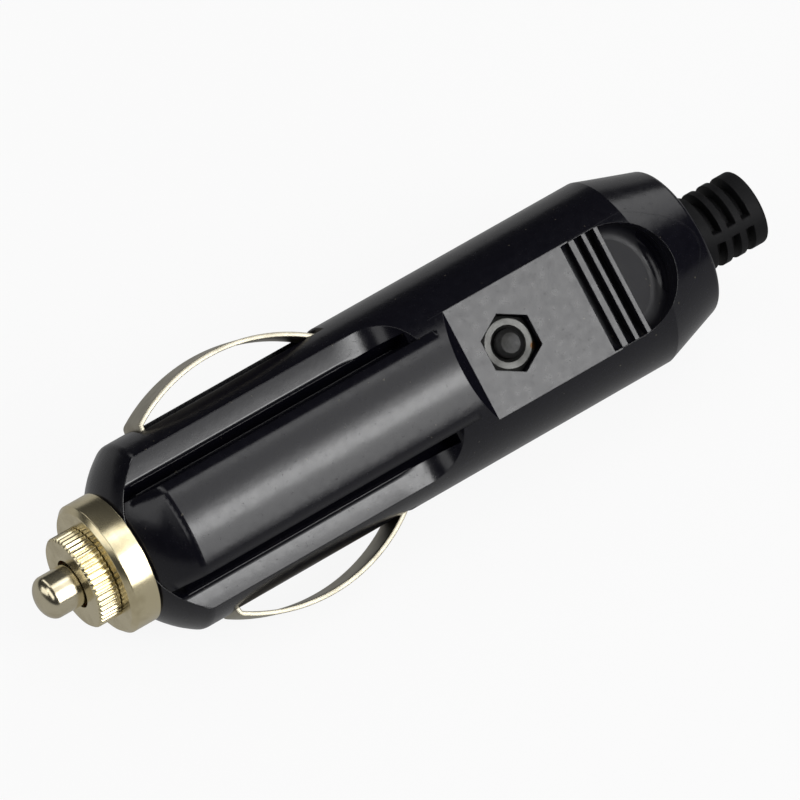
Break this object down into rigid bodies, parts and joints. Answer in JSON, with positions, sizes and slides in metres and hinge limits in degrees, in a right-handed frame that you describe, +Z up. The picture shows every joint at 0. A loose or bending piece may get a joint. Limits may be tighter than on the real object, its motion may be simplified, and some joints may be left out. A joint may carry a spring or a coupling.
{
  "type": "cigarette lighter plug",
  "caption": "Round 12 V car socket plug with a sprung tip, bowed side contacts, a screw-in fuse cap, a two-half black housing and a slotted cable boot.",
  "frame": {"origin": "on the ground under the middle of the plug's box, as it lies on its round body and one side contact", "axes": "+X along the plug towards the cable end, +Z up"},
  "size_m": [0.087, 0.0246, 0.0208],
  "materials": {
    "black_plastic": "moulded, satin to glossy",
    "zinc_steel": "zinc plated",
    "nickel": "bright nickel, faintly warm",
    "nickel_tip": "bright nickel",
    "fibre": "vulcanised fibre",
    "fuse_glass": "clear",
    "fuse_plating": "nickel plated",
    "fuse_element": "tinned wire",
    "spring_steel": "bare spring steel",
    "brass": "stamped, bare",
    "leaf_plating": "nickel plated spring steel",
    "black_rubber": "soft, matt"
  },
  "bodies": {
    "housing": {"upper_shell": "black_plastic", "lower_shell": "black_plastic", "clamp_screw": "zinc_steel", "clamp_nut": "zinc_steel", "nose_collar": "nickel", "ground_strap": "brass", "rear_contact": "brass", "strain_relief": "black_rubber", "fuse_spring": "spring_steel"},
    "cap_carrier": {"tip_washer": "fibre"},
    "cap": {"fuse_cap": "nickel"},
    "tip": {"tip_contact": "nickel_tip", "fuse_glass": "fuse_glass", "fuse_front_cap": "fuse_plating", "fuse_rear_cap": "fuse_plating", "fuse_wire": "fuse_element"},
    "left_leaf": {"side_contact_left": "leaf_plating"},
    "right_leaf": {"side_contact_right": "leaf_plating"}
  },
  "joints": [
    {"name": "cap_travel", "type": "slide", "parent": "housing", "child": "cap_carrier", "axis": [-1, 0, 0], "range_m": [0, 0.00675]},
    {"name": "cap_turn", "type": "hinge", "parent": "cap_carrier", "child": "cap", "pos_m": [-0.03745, 0, 0.0104], "axis": [-1, 0, 0], "range_deg": [0, 3240]},
    {"name": "tip_press", "type": "slide", "parent": "cap_carrier", "child": "tip", "axis": [1, 0, 0], "range_m": [0, 0.0032], "stiffness_N_per_m": 800, "springref_m": -0.002, "deforming": ["fuse_spring"]},
    {"name": "left_leaf_press", "type": "slide", "parent": "housing", "child": "left_leaf", "axis": [0, -0.7867, -0.6174], "range_m": [0, 0.0032], "stiffness_N_per_m": 1500},
    {"name": "right_leaf_press", "type": "slide", "parent": "housing", "child": "right_leaf", "axis": [0, 0.7867, 0.6174], "range_m": [0, 0.0032], "stiffness_N_per_m": 1500}
  ],
  "couplings": [
    {"joint": "cap_turn", "follows": "cap_travel", "rad_per_m": 8377.6}
  ]
}
